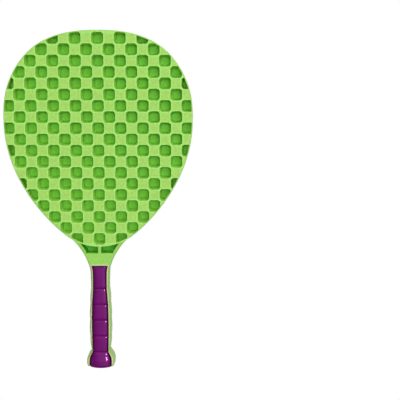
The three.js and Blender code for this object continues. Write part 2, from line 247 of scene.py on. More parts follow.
def tubeFaces(rings, count, first=0, flip=False):
    # Quads between neighbouring rings of count points each, and one cap at either end.
    ring = np.arange(rings - 1)[:, None] * count
    here = np.arange(count)
    ahead = (here + 1) % count
    below = ring + count
    quads = np.stack([ring + here, below + here, below + ahead, ring + ahead], axis=-1)
    quads = quads.reshape(-1, 4) + first
    top = here + first
    bottom = here[::-1] + first + (rings - 1) * count
    if flip:
        quads, top, bottom = quads[:, ::-1], top[::-1], bottom[::-1]
    return quads.tolist() + [top.tolist(), bottom.tolist()]


def applied(piece):
    # Bakes the modifiers of a piece into its mesh.
    evaluated = piece.evaluated_get(bpy.context.evaluated_depsgraph_get())
    mesh = bpy.data.meshes.new_from_object(evaluated)
    old = piece.data
    piece.modifiers.clear()
    piece.data = mesh
    bpy.data.meshes.remove(old)
    return piece


def combine(piece, other, operation):
    # Cuts another closed mesh out of a piece, or joins it on, and removes the other.
    change = piece.modifiers.new(operation.lower(), "BOOLEAN")
    change.operation = operation
    change.solver = "MANIFOLD"
    change.object = other
    applied(piece)
    bpy.data.objects.remove(other)


def smooth(piece, degrees):
    # Smooth shading that keeps edges sharper than an angle, with flat faces kept flat.
    piece.data.shade_smooth()
    piece.data.set_sharp_from_angle(angle=math.radians(degrees))
    even = piece.modifiers.new("even", "WEIGHTED_NORMAL")
    even.keep_sharp = True
    applied(piece)


# Green body, in metres. Rounds are across and down.
body = {
    "rimRound": (0.0011, 0.003),
    "railRound": (0.0022, 0.006),
    "roundSteps": 5,
    "throatSections": (12, 10, 14),  # down to the plate, the lip and the neck
    "segmentSections": 13,
    "cornerSteps": 12,
    "endSteps": 8,
    "scallop": 0.00055,
    "edgeRound": 0.00035,
    "webHalf": 0.0013,
    "webSetback": 0.0042,
    "lipSetback": 0.0009,
    "lipRun": 0.0005,
    "edgePoints": 5,  # round the channel's lip and mouth
    "channelSections": 90,
    "openSections": 12,  # past the end of the web
    "weldDistance": 1e-6,
    "sharpAngle": 55,
}


def racketSide():
    # The whole right side in plan, from the tip to the middle of the butt's end.
    spans = zip((shoulderY, plateY, lipY), (plateY, lipY, neckY), body["throatSections"])
    runs = [np.linspace(top, bottom, count) for top, bottom, count in spans]
    count = body["segmentSections"]
    runs += [np.linspace(top, bottom, count) for top, bottom in zip(notchYs[:-1], notchYs[1:])]
    stemYs = np.unique(np.concatenate(runs))[::-1]
    stem = np.column_stack([sideReach(stemYs, body["scallop"]), stemYs])
    half, cornerY = plan["buttHalf"], buttY + plan["buttBulge"]
    flare = flareOut(stem[-1], half, plan["flareLength"])
    cornerX, cornerRise = plan["buttCorner"]
    foot = (half - cornerX, cornerY)
    roundShares = (2 / 3, 2 / 3 * cornerX / cornerRise)
    heel = (half, cornerY + cornerRise)
    back, pulls = (-1, 0), (1 / 3, 1 / 3)
    corner = bend(heel, down, foot, back, roundShares, cornerRise, body["cornerSteps"])
    end = bend(foot, back, (0, buttY), back, pulls, half - cornerX, body["endSteps"])
    return np.vstack([headSide(), stem[1:], flare[1:], corner, end[1:]])


def bodyBlank():
    # The uncut body: sections carried from the tip to the butt. At each place the side
    # rounds over by a quarter ellipse, d = width (1 - cos a), z = h - height (1 - sin a),
    # d measured inwards along the outline's normal. Both ends shrink to a line, where the
    # weld closes them.
    side = racketSide()
    normal = inwards(side, False)
    normal[0], normal[-1] = (0, -1), (0, 1)
    grow = np.clip((shoulderY - side[:, 1]) / (shoulderY - neckY), 0, 1)[:, None]
    grow = grow * grow * (3 - 2 * grow)
    rimRound, railRound = np.array(body["rimRound"]), np.array(body["railRound"])
    width, height = np.split(rimRound + (railRound - rimRound) * grow, 2, axis=1)
    angle = np.linspace(math.pi / 2, 0, body["roundSteps"] + 1)
    inset = width * (1 - np.cos(angle))
    rise = halfThickness(side[:, 1])[:, None] - height * (1 - np.sin(angle))
    inset = np.hstack([inset, inset[:, ::-1]])
    level = middleZ + np.hstack([rise, -rise[:, ::-1]])
    plane = side[:, None, :] + normal[:, None, :] * inset[..., None]
    right = np.dstack([plane, level])
    left = right[:, ::-1] * (-1, 1, 1)
    points = np.concatenate([right, left], axis=1)
    count = points.shape[1]
    faces = tubeFaces(len(points), count)[:-2]
    piece = meshPiece("racketShell", points, faces)
    weld = piece.modifiers.new("weld", "WELD")
    weld.merge_threshold = body["weldDistance"]
    return applied(piece)


def channelCutter(front):
    # The channel of one side: sections across the grip, its mouth and floor rounded. At its
    # top end the depth grows from nothing by a quarter circle, which rounds the lip.
    edge = body["edgeRound"]
    topY = lipY - body["lipSetback"]
    turn = np.linspace(0, math.pi / 2, body["edgePoints"])
    lipYs = topY + edge - edge * np.sin(turn)
    lipDepth = edge * (1 - np.cos(turn)) + 2 * sliver
    restYs = np.linspace(topY - body["lipRun"], buttY - overrun, body["channelSections"])
    ys = np.concatenate([lipYs, [topY - sliver], restYs])
    mouthZ = middleZ + halfThickness(ys)
    floorZ = middleZ + body["webHalf"]
    full = mouthZ - floorZ
    depth = np.concatenate([lipDepth, full[len(lipYs) :]])
    half = gripReach(ys, -grip["clearance"])
    drop = np.concatenate([[-overrun], edge * (1 - np.cos(turn))])
    bring = np.concatenate([[edge], edge - edge * np.sin(turn)])
    side = np.stack(np.broadcast_arrays(half[:, None] + bring, -drop), axis=-1)
    foot = np.stack([half, -full], axis=-1)[:, None]
    right = np.concatenate([side, foot], axis=1)
    profile = np.concatenate([right, right[:, ::-1] * (-1, 1)], axis=1)
    x, z = profile[..., 0], profile[..., 1]
    z = np.where(z < 0, z * (depth / full)[:, None], z) + mouthZ[:, None]
    points = np.stack([x, np.broadcast_to(ys[:, None], x.shape), z], axis=-1)
    if not front:
        points[..., 2] = 2 * middleZ - points[..., 2]
    return meshPiece("channel", points, tubeFaces(len(ys), x.shape[1], flip=not front))


def endCutter():
    # What lies between the rails past the end of the web.
    ys = np.linspace(buttY + body["webSetback"], buttY - overrun, body["openSections"])
    half = gripReach(ys, -grip["clearance"])
    low, high = np.full_like(ys, -overrun), np.full_like(ys, 2 * middleZ + overrun)
    corners = [(half, high), (half, low), (-half, low), (-half, high)]
    points = np.stack([np.stack([x, ys, z], axis=-1) for x, z in corners], axis=1)
    return meshPiece("openEnd", points, tubeFaces(len(ys), 4))


# Cells of the head, in metres
cells = {
    "pitch": 0.0124,
    "topSetback": 0.0027,
    "mouth": 0.0133,
    "cornerCut": 0.0023,
    "rim": 0.0012,
    "lean": 0.0013,
    "skin": 0.0015,
    "roundPower": 22,
    "cornerTurn": 4,  # degrees from each corner of the octagon to the points beside it
    "mouthRound": (0.0002, 0.0003),
    "floorRound": 0.0004,
    "smallestShare": 0.06,  # of its square that a cell has inside the rim
    "samples": 12,  # along each side of the square, to work out that share
}
headFront, headBack = middleZ + plan["headHalf"], middleZ - plan["headHalf"]
topRowY = tipY - cells["topSetback"] - cells["pitch"] / 2


def inside(points, path):
    # Whether each point lies within a convex clockwise path.
    normal = inwards(path, True)
    return ((points[..., None, :] - path) * normal).sum(-1).min(-1) > 0


def pockets(outline, insets, depths, mouthZ, sense):
    # Closed tubes from counterclockwise outlines, all with the same number of points. Each
    # ring is the outline moved inwards along its own normals, at a depth from the mouth.
    normal = inwards(outline[:, ::-1], True)[:, ::-1]
    plane = outline[:, None] + normal[:, None] * np.array(insets)[:, None, None]
    z = np.broadcast_to((mouthZ + sense * np.array(depths))[:, None], plane.shape[:-1])
    points = np.concatenate([plane, z[..., None]], axis=-1)
    rings, count = plane.shape[1:3]
    faces = []
    for k in range(len(outline)):
        faces += tubeFaces(rings, count, first=k * rings * count, flip=sense > 0)
    return points, faces


def pocketMesh(name, outline, mouthZ, floorZ, lean):
    # Pockets with a rounded mouth, walls that lean in and a rounded floor.
    sense, depth = np.sign(floorZ - mouthZ), abs(floorZ - mouthZ)
    (mouthInset, mouthDepth), floor = cells["mouthRound"], cells["floorRound"]
    insets = [0, 0, mouthInset, mouthInset + lean, mouthInset + lean + floor]
    depths = [-overrun, 0, mouthDepth, depth - floor, depth]
    return meshPiece(name, *pockets(outline, insets, depths, mouthZ, sense))


def cellCutters(parity, mouthZ, floorZ):
    # Every second cell, trimmed by the inner edge of the rim. In each direction u a cell
    # reaches out to the smooth least of its eight sides, r = (sum (u.n / side)^p)^(-1/p).
    rim = np.vstack([headSide(), headBottom()[1:-1], (headSide() * (-1, 1))[:0:-1]])
    rim = rim + inwards(rim, True) * cells["rim"]
    columns = math.ceil(plan["widest"][0] / cells["pitch"])
    rows = math.ceil(plan["headLength"] / cells["pitch"])
    row, column = np.meshgrid(np.arange(rows), np.arange(-columns, columns + 1), indexing="ij")
    kept = (row + column) % 2 == parity
    middle = np.stack([column[kept], -row[kept]], axis=-1) * cells["pitch"] + (0, topRowY)
    sample = (np.arange(cells["samples"]) + 0.5) / cells["samples"] - 0.5
    sample = np.stack(np.meshgrid(sample, sample), axis=-1).reshape(-1, 2) * cells["pitch"]
    share = inside(middle[:, None] + sample, rim).mean(axis=1)
    middle = middle[share > cells["smallestShare"]]

    half = cells["mouth"] / 2
    eighth = np.arange(8)
    turn = eighth * math.pi / 4
    sides = np.stack([np.cos(turn), np.sin(turn)], axis=-1)
    sideWays = np.where(eighth % 2, (2 * half - cells["cornerCut"]) / math.sqrt(2), half)
    # A point on either side of each corner of the octagon.
    corner = math.atan2(half - cells["cornerCut"], half)
    near = math.radians(cells["cornerTurn"])
    turns = np.add.outer([corner - near, corner + near], np.arange(4) * math.pi / 2)
    turns = np.sort(np.concatenate([turns, math.pi / 2 - turns], axis=None) % (2 * math.pi))
    u = np.stack([np.cos(turns), np.sin(turns)], axis=-1)
    power = cells["roundPower"]
    reach = ((np.clip(u @ sides.T, 0, None) / sideWays) ** power).sum(axis=1) ** (-1 / power)
    outline = middle[:, None] + reach[:, None] * u
    cutters = pocketMesh("cells", outline, mouthZ, floorZ, cells["lean"])

    sense, depth = np.sign(floorZ - mouthZ), abs(floorZ - mouthZ)
    mouthInset, mouthDepth = cells["mouthRound"]
    insets = [0, 0, mouthInset, mouthInset]
    depths = [-2 * overrun, 0, mouthDepth, depth + overrun]
    field = meshPiece("field", *pockets(rim[None, ::-1], insets, depths, mouthZ, sense))
    combine(cutters, field, "INTERSECT")
    return cutters


# Throat, in metres
throat = {
    "wall": 0.0038,
    "rib": 0.0034,
    "skin": 0.002,
    "lean": 0.0004,
    "arcSamples": 400,  # to find where a window's arc meets its side
    "sideSamples": 60,
    "sidePoints": 14,
    "arcPoints": 16,
    "ribPoints": 5,
    "footPoints": 8,
    "hollowPoints": 10,
}


def throatWindow(side):
    # One shallow window: along the plate, up the throat's side, back along the head's
    # bottom arc and down the rib.
    x = np.linspace(throat["rib"] / 2, shoulderHalf, throat["arcSamples"])
    arcY = headEndY + arcRadius - np.sqrt(arcRadius**2 - x**2)
    ys = np.linspace(shoulderY, plateY, throat["sideSamples"])
    wall = np.column_stack([throatReach(ys), ys])
    wall += inwards(wall, False) * throat["wall"]
    meetX = np.interp(0, x - np.interp(-arcY, -wall[:, 1], wall[:, 0]), x)
    meetY = np.interp(meetX, x, arcY)
    upY = np.linspace(plateY, meetY, throat["sidePoints"])
    up = np.column_stack([np.interp(-upY, -wall[:, 1], wall[:, 0]), upY])
    backX = np.linspace(meetX, throat["rib"] / 2, throat["arcPoints"])
    back = np.column_stack([backX, np.interp(backX, x, arcY)])
    ribY = np.linspace(back[-1, 1], plateY, throat["ribPoints"])[1:-1]
    rib = np.column_stack([np.full_like(ribY, throat["rib"] / 2), ribY])
    footX = np.linspace(throat["rib"] / 2, up[0, 0], throat["footPoints"])[:-1]
    foot = np.column_stack([footX, np.full_like(footX, plateY)])
    outline = np.vstack([foot, up, back[1:], rib])
    if side < 0:
        outline = outline[::-1] * (-1, 1)
    floorZ = headBack + cells["skin"]
    return pocketMesh("window", outline[None], headFront, floorZ, throat["lean"])


def throatHollow():
    # The hollow behind the throat plate.
    wall = throat["wall"]
    ys = np.linspace(plateY - wall, lipY + wall, throat["hollowPoints"])
    right = np.column_stack([throatReach(ys) - wall, ys])
    outline = np.vstack([right * (-1, 1), right[::-1]])
    ceilingZ = headFront - throat["skin"]
    return pocketMesh("hollow", outline[None], -overrun, ceilingZ, throat["lean"])


shell = bodyBlank()
print("body blank:", len(shell.data.polygons), "faces")
combine(shell, cellCutters(0, headFront, headBack + cells["skin"]), "DIFFERENCE")
combine(shell, cellCutters(1, headBack, headFront - cells["skin"]), "DIFFERENCE")
print("cells cut:", len(shell.data.polygons), "faces")
for cutter in (throatWindow(1), throatWindow(-1), throatHollow()):
    combine(shell, cutter, "DIFFERENCE")
for cutter in (channelCutter(True), channelCutter(False), endCutter()):
    combine(shell, cutter, "DIFFERENCE")
smooth(shell, body["sharpAngle"])
print("racket shell:", len(shell.data.polygons), "faces")


gripTopY = lipY - body["lipSetback"] - grip["clearance"]
gripStarts = np.append(gripTopY, grooveYs)
gripEnds = np.append(grooveYs, buttY)
baseZ = middleZ + body["webHalf"] + grip["clearance"]
pinYs = [(gripStarts[k] + gripEnds[k]) / 2 for k in grip["pinSegments"]]
bore = grip["pin"] + 2 * grip["clearance"]


def crownSink(y):
    # How far the crown lies below its highest level: each segment swells away from the
    # grooves beside it, a groove is a rounded notch, and both ends round over.
    way = np.abs(y[:, None] - grooveYs)
    near = np.clip(1 - way / grip["swellLength"], 0, 1)
    notch = np.clip(1 - way / grip["grooveHalf"], 0, 1)
    notch = notch * notch * (3 - 2 * notch)
    sink = (grip["swell"] * near**2 + grip["grooveDepth"] * notch).sum(axis=1)
    for end, way in (("topRound", gripTopY - y), ("endRound", y - buttY)):
        drop, length = grip[end]
        q = np.clip(1 - way / length, 0, 1)
        sink = sink + drop * (1 - np.sqrt(1 - q * q))
    return sink


def domeRings(ys, half, base, crownZ, steps):
    # Sections across the grip: two corners at the base and a dome above the edges,
    # x = half cos(a)^(2/n), z = edge + rise sin(a)^(2/n). The dome is rounder at the butt.
    ends = np.array([grip["domePowers"], grip["edgeDrops"]])
    share = np.clip((grooveYs[-1] - ys) / grip["crownBlendLength"], 0, 1)
    power, rise = (ends[:, :1] + (ends[:, 1:] - ends[:, :1]) * share)[..., None]
    a = np.linspace(0, math.pi / 2, steps // 2 + 1)
    wide, up = np.cos(a) ** (2 / power), np.sin(a) ** (2 / power)
    wide = np.hstack([wide, -wide[:, -2::-1]])
    up = np.hstack([up, up[:, -2::-1]])
    x = np.column_stack([-half, half, half[:, None] * wide])
    z = np.column_stack([base, base, crownZ[:, None] - rise * (1 - up)])
    y = np.broadcast_to(ys[:, None], x.shape)
    return np.stack([x, y, z], axis=-1)


def post(name, diameter, y, lowZ, highZ, sides=32):
    # An upright round post.
    a = np.arange(sides) * 2 * math.pi / sides
    ring = np.column_stack([np.cos(a) * diameter / 2, y + np.sin(a) * diameter / 2])
    points = [np.column_stack([ring, np.full(len(a), z)]) for z in (highZ, lowZ)]
    return meshPiece(name, np.array(points), tubeFaces(2, len(a)))


def insertSkin(name, withPins):
    # The outer skin as one tube of sections from the neck to the butt, whose end follows
    # the racket's bulge, then its hollow, and its pins or its bored bosses.
    s = np.linspace(0, 1, grip["sections"])[:, None]
    s = s - grip["crowding"] * np.sin(2 * math.pi * s)
    spread = gripStarts + (gripEnds - gripStarts) * s
    stepY = buttY + body["webSetback"] - grip["clearance"]
    ys = np.unique(np.append(spread, [stepY, stepY - sliver]))[::-1]
    half = gripReach(ys, 0)
    level = middleZ + halfThickness(np.maximum(ys, buttY + plan["buttBulge"]))
    crownZ = level + grip["crown"] - crownSink(ys)
    base = np.where(ys > stepY - sliver / 2, baseZ, middleZ + grip["clearance"] / 2)
    points = domeRings(ys, half, base, crownZ, grip["domeSteps"])
    nearEnd = np.clip(1 - (points[..., 1] - buttY) / grip["butt"], 0, 1)
    points[..., 1] += plan["buttBulge"] * (points[..., 0] / plan["buttHalf"]) ** 2 * nearEnd
    skin = meshPiece(name, points, tubeFaces(len(ys), points.shape[1]))

    endY, sections = buttY + body["webSetback"], grip["innerSections"]
    innerY = np.linspace(gripTopY - grip["wall"], endY, sections)
    lowest = grip["swell"] + grip["grooveDepth"] + grip["wall"]
    ceiling = middleZ + halfThickness(innerY) + grip["crown"] - lowest
    reach = gripReach(innerY, 0) - grip["wall"]
    floor = np.full_like(innerY, baseZ - overrun)
    inner = domeRings(innerY, reach, floor, ceiling, grip["innerSteps"])
    inner = meshPiece("inner", inner, tubeFaces(len(innerY), inner.shape[1]))
    combine(skin, inner, "DIFFERENCE")
    bossTop = middleZ + plan["gripHalfThickness"] + grip["crown"] - lowest + grip["wall"] / 2
    pinEnd = middleZ - body["webHalf"] - grip["clearance"] - grip["pinDepth"]
    boss = grip["pin"] + 2 * grip["bossWall"]
    boreTop = 2 * middleZ - pinEnd + grip["clearance"]
    for y in pinYs:
        combine(skin, post("boss", boss, y, baseZ, bossTop), "UNION")
        if withPins:
            combine(skin, post("pin", grip["pin"], y, pinEnd, baseZ + grip["wall"]), "UNION")
        else:
            combine(skin, post("bore", bore, y, baseZ - overrun, boreTop), "DIFFERENCE")
    return skin


def turnOver(piece):
    # Mirrors a piece through the middle plane of the racket and turns its faces out again.
    mesh = piece.data
    place = np.empty(len(mesh.vertices) * 3)
    mesh.vertices.foreach_get("co", place)
    place[2::3] = 2 * middleZ - place[2::3]
    mesh.vertices.foreach_set("co", place)
    mesh.flip_normals()


frontGrip = insertSkin("frontGripSkin", True)
backGrip = insertSkin("backGripSkin", False)
turnOver(backGrip)
for skin in (frontGrip, backGrip):
    smooth(skin, grip["sharpAngle"])
for y in pinYs:
    combine(shell, post("webHole", bore, y, 0, 2 * middleZ), "DIFFERENCE")
print("grip skins:", len(frontGrip.data.polygons), "and", len(backGrip.data.polygons), "faces")


def markEdgeWay(piece):
    # Stores how far each point lies from the racket's outline in plan: the least over the
    # outline's straight parts of |p - a - s (b - a)|, with s kept between 0 and 1.
    place = np.empty(len(piece.data.vertices) * 3)
    piece.data.vertices.foreach_get("co", place)
    flat = place.reshape(-1, 3)[:, :2]
    flat = np.column_stack([np.abs(flat[:, 0]), flat[:, 1]])
    side = racketSide()
    way = np.full(len(flat), np.inf)
    for a, along in zip(side[:-1], np.diff(side, axis=0)):
        s = np.clip((flat - a) @ along / (along @ along), 0, 1)
        way = np.minimum(way, np.linalg.norm(flat - a - s[:, None] * along, axis=1))
    piece.data.attributes.new("edgeWay", "FLOAT", "POINT").data.foreach_set("value", way)


markEdgeWay(shell)
print("outer side marked")


class Signal:
    # One output socket, so that shader maths reads as Python. A tree's first nodes come
    # from a signal that has no socket yet.
    def __init__(self, tree, socket=None):
        self.tree = tree
        self.socket = socket

    def node(self, kind, settings=None, inputs=None, output=0):
        made = self.tree.nodes.new(kind)
        for name, value in (settings or {}).items():
            setattr(made, name, value)
        for name, value in (inputs or {}).items():
            if isinstance(value, Signal):
                self.tree.links.new(value.socket, made.inputs[name])
            else:
                made.inputs[name].default_value = value
        return Signal(self.tree, made.outputs[output])

    def maths(self, operation, *values, clamp=False):
        settings = {"operation": operation, "use_clamp": clamp}
        return self.node("ShaderNodeMath", settings, dict(enumerate(values)))

    def vectorMaths(self, operation, other, output):
        settings, inputs = {"operation": operation}, {0: self, 1: other}
        return self.node("ShaderNodeVectorMath", settings, inputs, output)

    def __add__(self, other):
        return self.maths("ADD", self, other)

    def __sub__(self, other):
        return self.maths("SUBTRACT", self, other)

    def __rsub__(self, other):
        return self.maths("SUBTRACT", other, self)

    def __mul__(self, other):
        if isinstance(other, tuple):
            return self.vectorMaths("MULTIPLY", other, "Vector")
        return self.maths("MULTIPLY", self, other)

    def __truediv__(self, other):
        return self.maths("DIVIDE", self, other)

    __radd__ = __add__
    __rmul__ = __mul__

    def __abs__(self):
        return self.maths("ABSOLUTE", self)

    def rounded(self):
        return self.maths("ROUND", self)

    def pingpong(self, scale):
        return self.maths("PINGPONG", self, scale)

    def most(self, other):
        return self.maths("MAXIMUM", self, other)

    def least(self, other):
        return self.maths("MINIMUM", self, other)

    def limited(self):
        # Kept between 0 and 1.
        return self.maths("ADD", self, 0.0, clamp=True)

    def axes(self):
        # The three parts of a vector.
        parts = self.node("ShaderNodeSeparateXYZ", None, {0: self}).socket.node.outputs
        return [Signal(self.tree, part) for part in parts]

    def distance(self, centre):
        return self.vectorMaths("DISTANCE", centre, "Value")

    def dot(self, direction):
        return self.vectorMaths("DOT_PRODUCT", direction, "Value")

    def step(self, low, high):
        # 0 below low, 1 above high and smooth between.
        inputs = {"Value": self, "From Min": low, "From Max": high}
        return self.node("ShaderNodeMapRange", {"interpolation_type": "SMOOTHSTEP"}, inputs)

    def noise(self, scale, detail=2.0, roughness=0.5):
        inputs = {"Vector": self, "Scale": scale, "Detail": detail, "Roughness": roughness}
        return self.node("ShaderNodeTexNoise", None, inputs)

    def blend(self, other, share):
        # This colour passing into another by a share.
        inputs = {0: share, 6: self, 7: other}
        return self.node("ShaderNodeMix", {"data_type": "RGBA"}, inputs, output=2)

    def colour(self, value):
        inputs = {0: 0.0, 6: value, 7: value}
        return self.node("ShaderNodeMix", {"data_type": "RGBA"}, inputs, output=2)


def plasticMaterial(name, finish):
    # A Principled material with its fixed values set on the shader's own sockets.
    material = bpy.data.materials.new(name)
    material.use_nodes = True
    tree = material.node_tree
    shader = tree.nodes["Principled BSDF"]
    shader.inputs["Roughness"].default_value = finish["roughness"]
    shader.inputs["Specular IOR Level"].default_value = finish["specular"]
    place = Signal(tree).node("ShaderNodeTexCoord", output="Object")
    return material, shader, place


def linkFinish(shader, place, base, finish):
    # Feeds the shader its colour and a fine bump.
    scale, strength, distance = finish["bump"]
    inputs = {"Strength": strength, "Distance": distance, "Height": place.noise(scale)}
    bump = place.node("ShaderNodeBump", None, inputs)
    place.tree.links.new(base.socket, shader.inputs["Base Color"])
    place.tree.links.new(bump.socket, shader.inputs["Normal"])


greenFinish = {
    "skin": (0.373, 0.735, 0.118, 1),  # the rim, and the closed squares with their grain
    "grain": (0.450, 0.718, 0.146, 1),
    "grainScale": 900,
    "grainRange": (0.35, 0.65),
    "grainShare": 0.6,
    "mouthHighlight": (0.402, 0.850, 0.160, 1),  # painted highlight round the cells' mouths
    "arcHighlight": (0.430, 0.880, 0.190, 1),  # painted highlight along the arc that closes the head
    "arcHighlightShare": 0.8,
    "plain": (0.310, 0.670, 0.100, 1),  # the throat
    # painted shade on the cells' walls
    "wall": (0.350, 0.700, 0.050, 1),
    # painted light on the cells' walls
    "litWall": (0.450, 0.770, 0.185, 1),
    "litShare": 0.6,
    "leftLitShare": 0.7,  # on the left side, of the painted light on the bottom side
    # painted shade in the cells' top corners and on their right sides
    "nook": (0.090, 0.450, 0.001, 1),
    "nookShare": 0.65,
    "rightNookShare": 0.5,  # on the right side, of the painted shade in the top corners
    "deep": (0.302, 0.850, 0.048, 1),  # painted light on the cells' floors, and painted shade towards their corners
    "corner": (0.180, 0.590, 0.010, 1),
    "cornerShares": (0.7, 0.2),
    # painted shade on the throat windows' walls, and painted light on their floors
    "windowWall": (0.035, 0.500, 0.001, 1),
    "windowFloor": (0.180, 0.780, 0.035, 1),
    # painted shade on the rails
    "rail": (0.370, 0.620, 0.130, 1),
    # painted highlight along the rails' inner edges
    "railHighlight": (0.600, 0.670, 0.340, 1),
    "mottle": (0.92, 1.07),
    "mottleScale": 460,
    "mottleRange": (0.3, 0.7),
    "roughness": 0.42,
    "specular": 0.25,
    "bump": (1400, 0.12, 0.0002),
}
# Where one colour passes into the next, in metres.
greenEdges = {
    "side": (0.0008, 0.0011),
    "face": (0.0006, 0.0009),
    "mouth": (0.0001, 0.001),
    "floorRise": (0.0002, 0.0012),
    "lip": (-0.0019, -0.0012),
    "arc": (-0.0003, 0.0001),
    "shoulder": (-0.0003, 0.0003),
    "middle": (-0.0001, 0.0001),
    "plate": (-0.002, 0.002),
    "railFront": (-0.0004, 0.0018),
    "railSide": (-0.014, 0.002),
    "railHighlight": (0.0006, 0.0014),
}
# The same within a cell: shares of the way from its middle to its mouth, then shares of a
# pitch rightwards or upwards.
cellEdges = {
    "square": (1.12, 1.27),
    "corner": (0.48, 0.74),
    "floor": (0.8, 0.86),
    "topShade": (0.15, 0.4),
    "cornerShade": (0.2, 0.4),
    "rightShade": (0.3, 0.46),
    "leftLight": (-0.5, -0.2),
    "bottomLight": (-0.46, -0.3),
}


def mouthWay(a, b):
    # The most of a / half, b / half and (a + b) / chamfer, in pitches from the middle of an
    # open cell: it is 1 along the cell's mouth.
    half = cells["mouth"] / 2 / cells["pitch"]
    chamfer = 2 * half - cells["cornerCut"] / cells["pitch"]
    return (a / half).most(b / half).most((a + b) / chamfer)


def latticeWays(x, y):
    # How far a place lies right of and above the nearest square's middle, in pitches, and
    # how far from the nearest cell open to the front and to the back.
    column = x / cells["pitch"]
    row = (y - topRowY) / cells["pitch"]
    nearColumn, nearRow = column.rounded(), row.rounded()
    rightwards, upwards = column - nearColumn, row - nearRow
    offX, offY = abs(rightwards), abs(upwards)
    odd = (nearColumn + nearRow).pingpong(1.0)
    own = mouthWay(offX, offY)
    beside = mouthWay(1 - offX, offY).least(mouthWay(offX, 1 - offY))
    frontWay = own + (beside - own) * odd
    return rightwards, upwards, frontWay, own + beside - frontWay


def toButt(y):
    # 0 on the handle, 1 on the butt.
    return ((flareY - y) / plan["flareLength"]).limited()


def crownDepth(y, z):
    # How far a place lies below the level of the handle's crown, from either face. The
    # crown lifts towards the butt.
    spread = plan["buttHalfThickness"] - plan["gripHalfThickness"]
    return plan["gripHalfThickness"] + grip["crown"] + toButt(y) * spread - abs(z - middleZ)


def greenPlastic():
    finish, edges = greenFinish, greenEdges
    material, shader, place = plasticMaterial("greenPlastic", finish)
    x, y, z = place.axes()

    def tint(name):
        return place.colour(finish[name])

    # On a face the cells open to it count, and deeper down those open to the other one.
    rightwards, upwards, frontWay, backWay = latticeWays(x, y)
    depth = plan["headHalf"] - abs(z - middleZ)
    frontHalf = (z - middleZ).step(*edges["middle"])
    onFace = 1 - depth.step(*edges["face"])
    fromFront = onFace * frontHalf + (1 - onFace) * (1 - frontHalf)
    way = backWay + (frontWay - backWay) * fromFront

    # The arc that closes the head's bottom, and the racket's outer side.
    below = 1 - (y - shoulderY).step(*edges["shoulder"])
    arcWay = (place * (1, 1, 0)).distance((0, headEndY + arcRadius, 0)) - arcRadius
    beyond = arcWay.step(*edges["arc"]) * below
    lip = arcWay.step(*edges["lip"]) * below
    edgeWay = place.node("ShaderNodeAttribute", {"attribute_name": "edgeWay"}, output="Fac")
    outside = 1 - edgeWay.step(*edges["side"])

    # Faces: grained squares between painted highlights round the cells' mouths, the rim, a
    # painted highlight along the arc's lip and the plain throat.
    grain = place.noise(finish["grainScale"], 3).step(*finish["grainRange"])
    square = tint("skin").blend(tint("grain"), grain * finish["grainShare"])
    base = tint("mouthHighlight").blend(square, way.step(*cellEdges["square"]))
    base = base.blend(tint("skin"), outside)
    # Painted highlight along the front lip of the head's bottom arc.
    base = base.blend(tint("arcHighlight"), lip * frontHalf * finish["arcHighlightShare"])
    base = base.blend(tint("plain"), beyond)

    # Cells: walls in painted shade, and floors in painted light that pass into painted shade
    # towards their corners, least on the left.
    inPocket = depth.step(*edges["mouth"]) * (1 - outside)
    inCell = inPocket * (y - plateY).step(*edges["plate"])
    floorLow, floorHigh = (cells["skin"] + rise for rise in edges["floorRise"])
    low = inPocket * (1 - depth.step(floorLow, floorHigh))
    atFloor = low * (1 - way.step(*cellEdges["floor"]))
    leftwards = 1 - rightwards.step(*cellEdges["leftLight"])
    most, least = finish["cornerShares"]
    cornerShare = way.step(*cellEdges["corner"]) * (most - leftwards * (most - least))
    base = base.blend(tint("wall"), inCell)
    base = base.blend(tint("deep").blend(tint("corner"), cornerShare), inCell * atFloor)

    # Painted shade on a cell's top corners and right side, and painted light on its bottom and
    # left side.
    nook = abs(rightwards).step(*cellEdges["cornerShade"])
    nook = nook * upwards.step(*cellEdges["topShade"])
    shaded = rightwards.step(*cellEdges["rightShade"])
    nook = nook.most(shaded * finish["rightNookShare"])
    base = base.blend(tint("nook"), nook * inCell * finish["nookShare"])
    lit = 1 - upwards.step(*cellEdges["bottomLight"])
    lit = lit.most(leftwards * finish["leftLitShare"])
    base = base.blend(tint("litWall"), lit * inCell * (1 - atFloor) * finish["litShare"])

    # Windows of the throat: painted shade on their walls and painted light on their floors
    window = tint("windowWall").blend(tint("windowFloor"), low * (1 - frontHalf))
    base = base.blend(window, inCell * beyond)

    # Rails: a duller green of painted shade, with a painted highlight along the inner edge,
    # where the top isn't yet rounding over.
    atFront = (y - lipY).step(*edges["railFront"])
    atSide = (y - lipY).step(*edges["railSide"])
    railHighlight = 1 - crownDepth(y, z).step(*edges["railHighlight"])
    railShadeAndHighlight = tint("rail").blend(tint("railHighlight"), railHighlight)
    base = base.blend(railShadeAndHighlight, 1 - (atFront + (atSide - atFront) * outside))

    # The moulded surface is finely mottled.
    dull, lively = ((share,) * 3 for share in finish["mottle"])
    mottle = place.noise(finish["mottleScale"]).step(*finish["mottleRange"])
    linkFinish(shader, place, (base * dull).blend(base * lively, mottle), finish)
    return material


purpleFinish = {
    "base": (0.168, 0.004, 0.152, 1),
    "deep": (0.140, 0.002, 0.128, 1),
    "cloudScale": 70,
    "cloudRange": (0.3, 0.7),
    "cloudShare": 0.7,
    # painted shade on the rounded edges and at both ends
    "edge": (0.050, 0.001, 0.040, 1),
    "edgeShadeShare": 0.9,
    "edgeDepth": (0.0004, 0.0016),
    "edgeLift": 0.0017,
    "topEdge": 0.0024,
    "endEdge": 0.0024,
    "gloss": (1.0, 0.42, 1.0, 1),
    "roughness": 0.14,
    "specular": 0.3,
    "bump": (500, 0.08, 0.0003),
}


